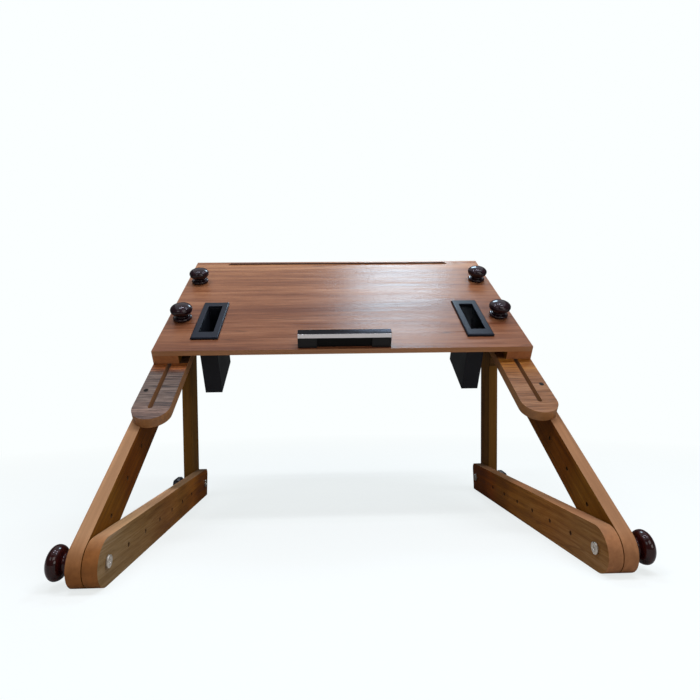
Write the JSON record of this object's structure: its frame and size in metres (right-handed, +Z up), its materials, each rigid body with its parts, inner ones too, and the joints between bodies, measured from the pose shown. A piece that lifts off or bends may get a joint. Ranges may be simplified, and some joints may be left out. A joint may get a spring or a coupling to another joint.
{
  "type": "folding laptop table",
  "caption": "Folding wooden laptop table: a tilted top with phone pockets, a stopper and a cord, clamped by knobs to slotted plates on folding triangular side frames.",
  "frame": {"origin": "on the floor, midway between the left and right sides and midway between the front of the side frames and the rear edge of the tabletop", "axes": "+X to the right of a person using the table, +Y away from that person, up the slope of the tabletop, +Z up"},
  "size_m": [0.6594, 0.5354, 0.4759],
  "materials": {
    "board": "satin varnish, reddish brown",
    "rails": "satin varnish, tan edges",
    "bars": "satin varnish, brown, weathered grain",
    "knob_wood": "gloss varnish, very dark mahogany",
    "brass": "machined",
    "steel": "zinc plated",
    "pocket_plastic": "gloss black",
    "stopper_plastic": "satin black",
    "stopper_chrome": "polished",
    "cord": "braided elastic, brown",
    "small_knob_plastic": "moulded black"
  },
  "bodies": {
    "table": {"tabletop": "board", "side_rail_left": "rails", "side_rail_right": "rails", "rail_screws": "steel", "pocket_frame_left": "pocket_plastic", "pocket_frame_right": "pocket_plastic", "pocket_box_left": "pocket_plastic", "pocket_box_right": "pocket_plastic", "stopper_body": "stopper_plastic", "stopper_strip": "stopper_chrome", "stopper_screws": "steel", "clamp_bolts": "steel", "clamp_washers": "steel", "retaining_cord": "cord", "cord_knots": "cord"},
    "clamp_knob_front_left": {"clamp_knob_front_left": "knob_wood", "clamp_insert_front_left": "brass"},
    "clamp_knob_rear_left": {"clamp_knob_rear_left": "knob_wood", "clamp_insert_rear_left": "brass"},
    "frame_left": {"slide_plate_left": "bars", "plate_screws_left": "steel", "long_bar_left": "bars", "pivot_bolt_left": "steel", "pivot_washers_left": "steel", "hinge_upper_leaf_left": "steel", "hinge_pin_left": "steel", "hinge_upper_screws_left": "steel"},
    "foot_knob_left": {"foot_knob_left": "knob_wood", "foot_insert_left": "brass"},
    "base_left": {"base_bar_left": "bars", "leg_bolt_left": "steel"},
    "leg_left": {"rear_leg_left": "bars", "hinge_lower_leaf_left": "steel", "hinge_lower_screws_left": "steel", "leg_stud_left": "steel", "leg_washers_left": "steel"},
    "leg_knob_left": {"leg_knob_left": "small_knob_plastic"},
    "clamp_knob_front_right": {"clamp_knob_front_right": "knob_wood", "clamp_insert_front_right": "brass"},
    "clamp_knob_rear_right": {"clamp_knob_rear_right": "knob_wood", "clamp_insert_rear_right": "brass"},
    "frame_right": {"slide_plate_right": "bars", "plate_screws_right": "steel", "long_bar_right": "bars", "pivot_bolt_right": "steel", "pivot_washers_right": "steel", "hinge_upper_leaf_right": "steel", "hinge_pin_right": "steel", "hinge_upper_screws_right": "steel"},
    "foot_knob_right": {"foot_knob_right": "knob_wood", "foot_insert_right": "brass"},
    "base_right": {"base_bar_right": "bars", "leg_bolt_right": "steel"},
    "leg_right": {"rear_leg_right": "bars", "hinge_lower_leaf_right": "steel", "hinge_lower_screws_right": "steel", "leg_stud_right": "steel", "leg_washers_right": "steel"},
    "leg_knob_right": {"leg_knob_right": "small_knob_plastic"}
  },
  "joints": [
    {"name": "frame_slide_left", "type": "slide", "parent": "table", "child": "frame_left", "axis": [0, 0.801, 0.5987], "range_m": [-0.045, 0.2]},
    {"name": "clamp_knob_turn_front_left", "type": "hinge", "parent": "table", "child": "clamp_knob_front_left", "pos_m": [-0.275, 0.05605, 0.32806], "axis": [0, -0.5987, 0.801], "continuous": true},
    {"name": "clamp_knob_turn_rear_left", "type": "hinge", "parent": "table", "child": "clamp_knob_rear_left", "pos_m": [-0.275, 0.17539, 0.41726], "axis": [0, -0.5987, 0.801], "continuous": true},
    {"name": "foot_knob_turn_left", "type": "hinge", "parent": "frame_left", "child": "foot_knob_left", "pos_m": [-0.31, -0.24216, 0.0255], "axis": [1, 0, 0], "continuous": true},
    {"name": "base_fold_left", "type": "hinge", "parent": "frame_left", "child": "base_left", "pos_m": [-0.275, -0.24216, 0.0255], "axis": [1, 0, 0], "range_deg": [0, 35]},
    {"name": "leg_fold_left", "type": "hinge", "parent": "frame_left", "child": "leg_left", "pos_m": [-0.292, 0.14025, 0.27663], "axis": [1, 0, 0], "range_deg": [-60.3, 0]},
    {"name": "leg_knob_turn_left", "type": "hinge", "parent": "leg_left", "child": "leg_knob_left", "pos_m": [-0.31, 0.21184, 0.0255], "axis": [1, 0, 0], "continuous": true},
    {"name": "frame_slide_right", "type": "slide", "parent": "table", "child": "frame_right", "axis": [0, 0.801, 0.5987], "range_m": [-0.045, 0.2]},
    {"name": "clamp_knob_turn_front_right", "type": "hinge", "parent": "table", "child": "clamp_knob_front_right", "pos_m": [0.275, 0.05605, 0.32806], "axis": [0, -0.5987, 0.801], "continuous": true},
    {"name": "clamp_knob_turn_rear_right", "type": "hinge", "parent": "table", "child": "clamp_knob_rear_right", "pos_m": [0.275, 0.17539, 0.41726], "axis": [0, -0.5987, 0.801], "continuous": true},
    {"name": "foot_knob_turn_right", "type": "hinge", "parent": "frame_right", "child": "foot_knob_right", "pos_m": [0.31, -0.24216, 0.0255], "axis": [1, 0, 0], "continuous": true},
    {"name": "base_fold_right", "type": "hinge", "parent": "frame_right", "child": "base_right", "pos_m": [0.275, -0.24216, 0.0255], "axis": [1, 0, 0], "range_deg": [0, 35]},
    {"name": "leg_fold_right", "type": "hinge", "parent": "frame_right", "child": "leg_right", "pos_m": [0.292, 0.14025, 0.27663], "axis": [1, 0, 0], "range_deg": [-60.3, 0]},
    {"name": "leg_knob_turn_right", "type": "hinge", "parent": "leg_right", "child": "leg_knob_right", "pos_m": [0.31, 0.21184, 0.0255], "axis": [1, 0, 0], "continuous": true}
  ],
  "couplings": [
    {"joint": "leg_fold_left", "follows": "base_fold_left", "ratio": -1.7229},
    {"joint": "leg_fold_right", "follows": "base_fold_right", "ratio": -1.7229}
  ]
}
